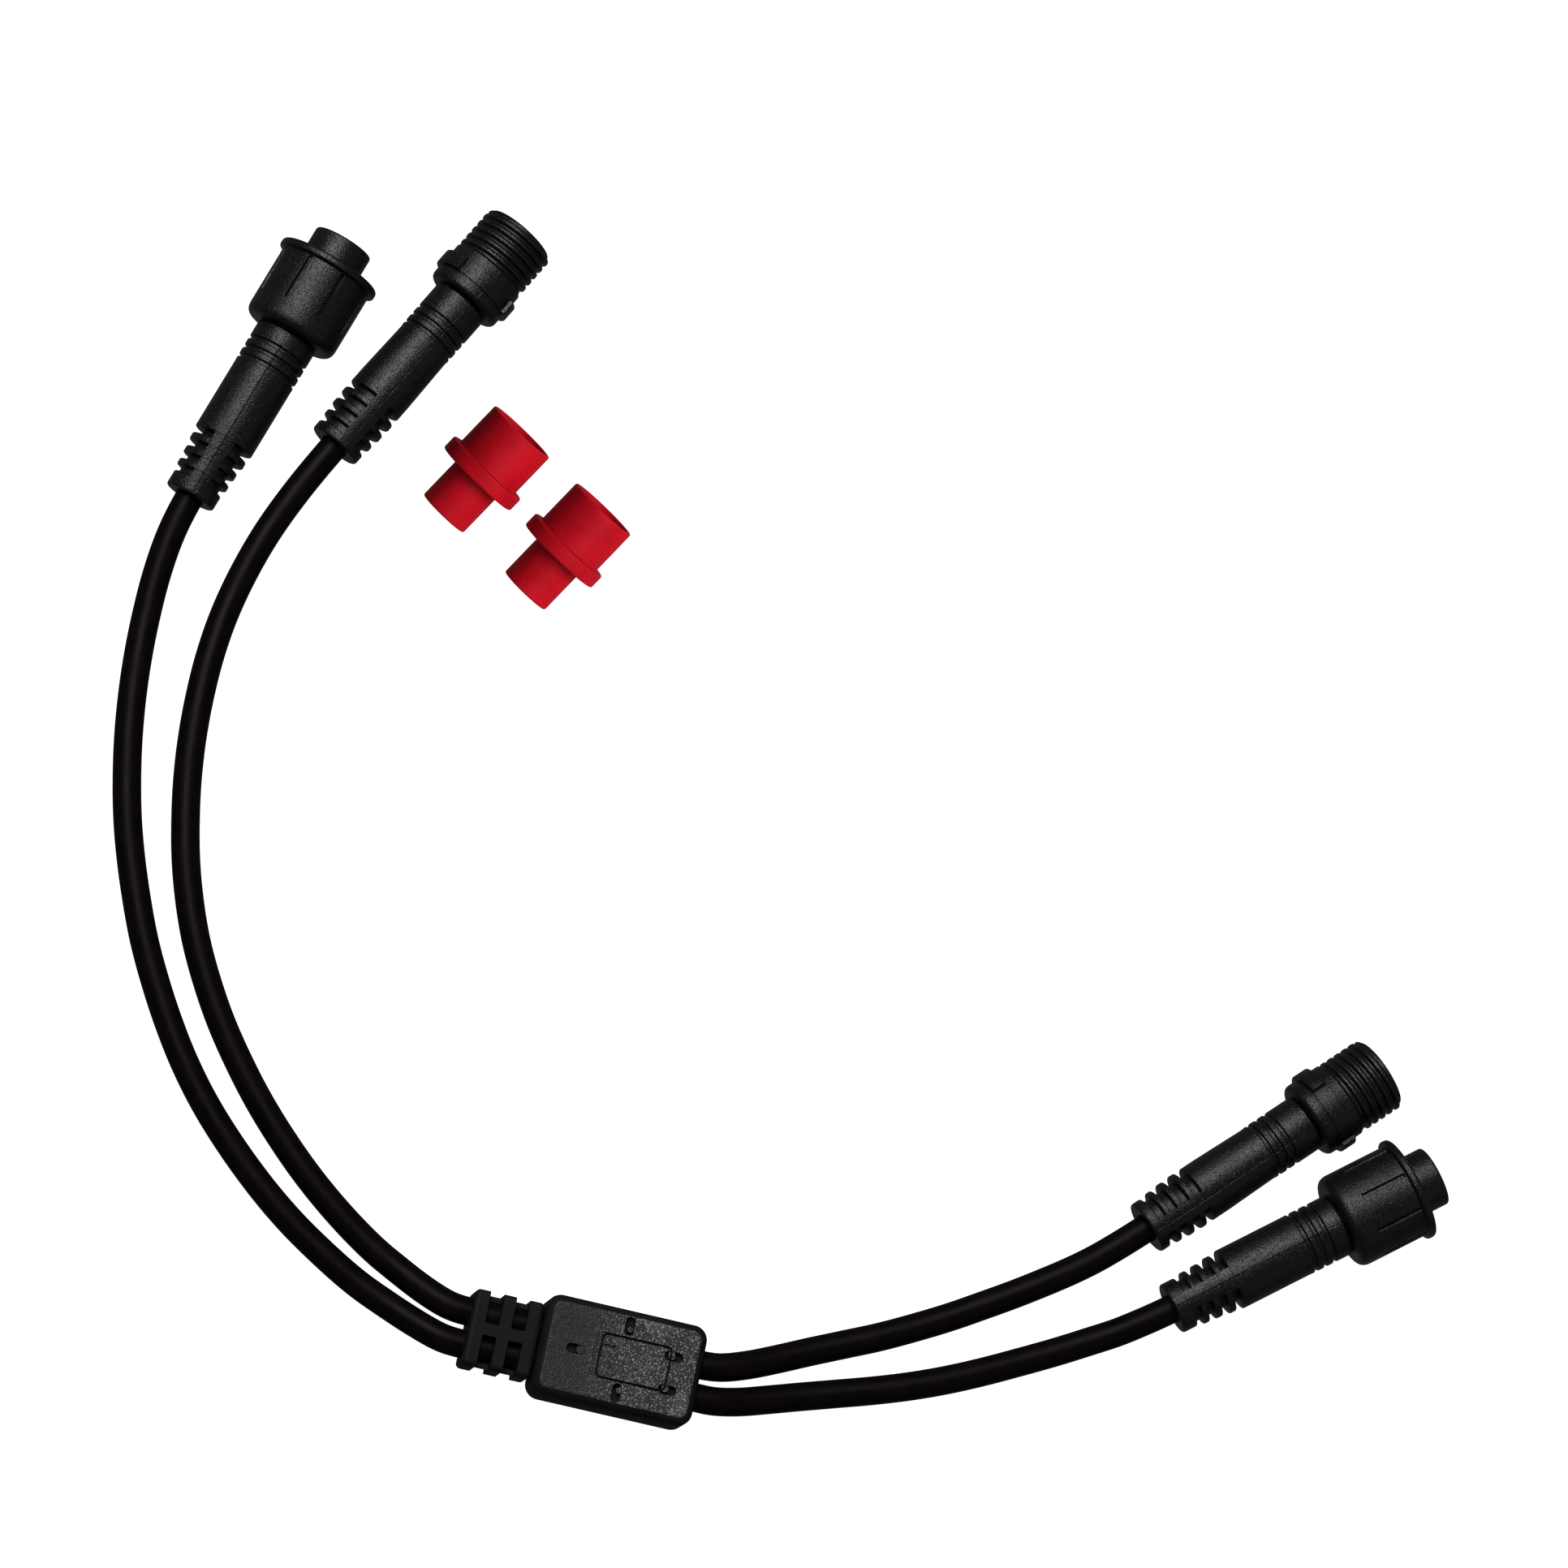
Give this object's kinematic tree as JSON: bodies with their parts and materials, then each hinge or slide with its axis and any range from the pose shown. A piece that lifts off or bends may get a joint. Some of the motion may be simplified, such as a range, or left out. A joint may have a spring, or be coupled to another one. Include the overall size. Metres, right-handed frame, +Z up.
{
  "type": "solar cable connector",
  "caption": "Waterproof H-shaped solar splitter lead: a moulded splice block joining leads with nut and screw-thread connectors, and loose red sealing caps.",
  "frame": {"origin": "middle of the splice block's flat underside, on the surface that everything lies on", "axes": "+Z up, +X along the block towards its plain end, away from the strain relief; +Y to the left of that"},
  "size_m": [0.2687, 0.2201, 0.0207],
  "materials": {
    "moulded_black": "fine spark-eroded moulded texture",
    "smooth_black": "satin moulded",
    "cable_jacket": "smooth extruded PVC",
    "insulator_grey": "moulded nylon",
    "tinned_copper": "tinned copper, crimped",
    "contact_brass": "turned brass",
    "seal_rubber": "matte rubber",
    "red_insulation": "smooth PVC",
    "black_insulation": "smooth PVC",
    "red_rubber": "matte moulded rubber"
  },
  "bodies": {
    "lead": {"block_body": "moulded_black", "strain_relief": "smooth_black", "splice_holder": "insulator_grey", "splice_ferrule_plus": "tinned_copper", "splice_core_nut_a_plus": "red_insulation", "nut_a_core_plus": "red_insulation", "splice_core_thread_a_plus": "red_insulation", "thread_a_core_plus": "red_insulation", "splice_core_thread_b_plus": "red_insulation", "thread_b_core_plus": "red_insulation", "splice_core_nut_b_plus": "red_insulation", "nut_b_core_plus": "red_insulation", "splice_ferrule_minus": "tinned_copper", "splice_core_nut_a_minus": "black_insulation", "nut_a_core_minus": "black_insulation", "splice_core_thread_a_minus": "black_insulation", "thread_a_core_minus": "black_insulation", "splice_core_thread_b_minus": "black_insulation", "thread_b_core_minus": "black_insulation", "splice_core_nut_b_minus": "black_insulation", "nut_b_core_minus": "black_insulation", "nut_a_cable": "cable_jacket", "nut_a_grip": "moulded_black", "thread_a_cable": "cable_jacket", "thread_a_grip": "moulded_black", "thread_b_cable": "cable_jacket", "thread_b_grip": "moulded_black", "nut_b_cable": "cable_jacket", "nut_b_grip": "moulded_black", "nut_a_barrel": "smooth_black", "nut_a_seal_ring": "seal_rubber", "nut_a_socket_plus": "contact_brass", "nut_a_socket_minus": "contact_brass", "nut_b_barrel": "smooth_black", "nut_b_seal_ring": "seal_rubber", "nut_b_socket_plus": "contact_brass", "nut_b_socket_minus": "contact_brass", "thread_a_shell": "moulded_black", "thread_a_pin_carrier": "insulator_grey", "thread_a_gasket": "seal_rubber", "thread_a_pin_plus": "contact_brass", "thread_a_pin_minus": "contact_brass", "thread_b_shell": "moulded_black", "thread_b_pin_carrier": "insulator_grey", "thread_b_gasket": "seal_rubber", "thread_b_pin_plus": "contact_brass", "thread_b_pin_minus": "contact_brass"},
    "nut_a_retainer": {"nut_a_retaining_ring": "insulator_grey"},
    "nut_a_coupling": {"nut_a_coupling_nut": "moulded_black"},
    "nut_b_retainer": {"nut_b_retaining_ring": "insulator_grey"},
    "nut_b_coupling": {"nut_b_coupling_nut": "moulded_black"},
    "cap_a": {"cap_a_seal": "red_rubber"},
    "cap_b": {"cap_b_seal": "red_rubber"}
  },
  "joints": [
    {"name": "nut_a_travel", "type": "slide", "parent": "lead", "child": "nut_a_retainer", "axis": [0.3074, 0.946, 0.1033], "range_m": [0, 0.004]},
    {"name": "nut_a_spin", "type": "hinge", "parent": "nut_a_retainer", "child": "nut_a_coupling", "pos_m": [-0.1131, 0.1424, 0.00503], "axis": [0.3074, 0.946, 0.1033], "continuous": true},
    {"name": "nut_b_travel", "type": "slide", "parent": "lead", "child": "nut_b_retainer", "axis": [0.7741, 0.6246, 0.1033], "range_m": [0, 0.004]},
    {"name": "nut_b_spin", "type": "hinge", "parent": "nut_b_retainer", "child": "nut_b_coupling", "pos_m": [0.1023, 0.0339, 0.00503], "axis": [0.7741, 0.6246, 0.1033], "continuous": true},
    {"name": "cap_a_lift", "type": "slide", "parent": "lead", "child": "cap_a", "axis": [0, 0, 1], "range_m": [0, 0.05]},
    {"name": "cap_b_lift", "type": "slide", "parent": "lead", "child": "cap_b", "axis": [0, 0, 1], "range_m": [0, 0.05]}
  ]
}
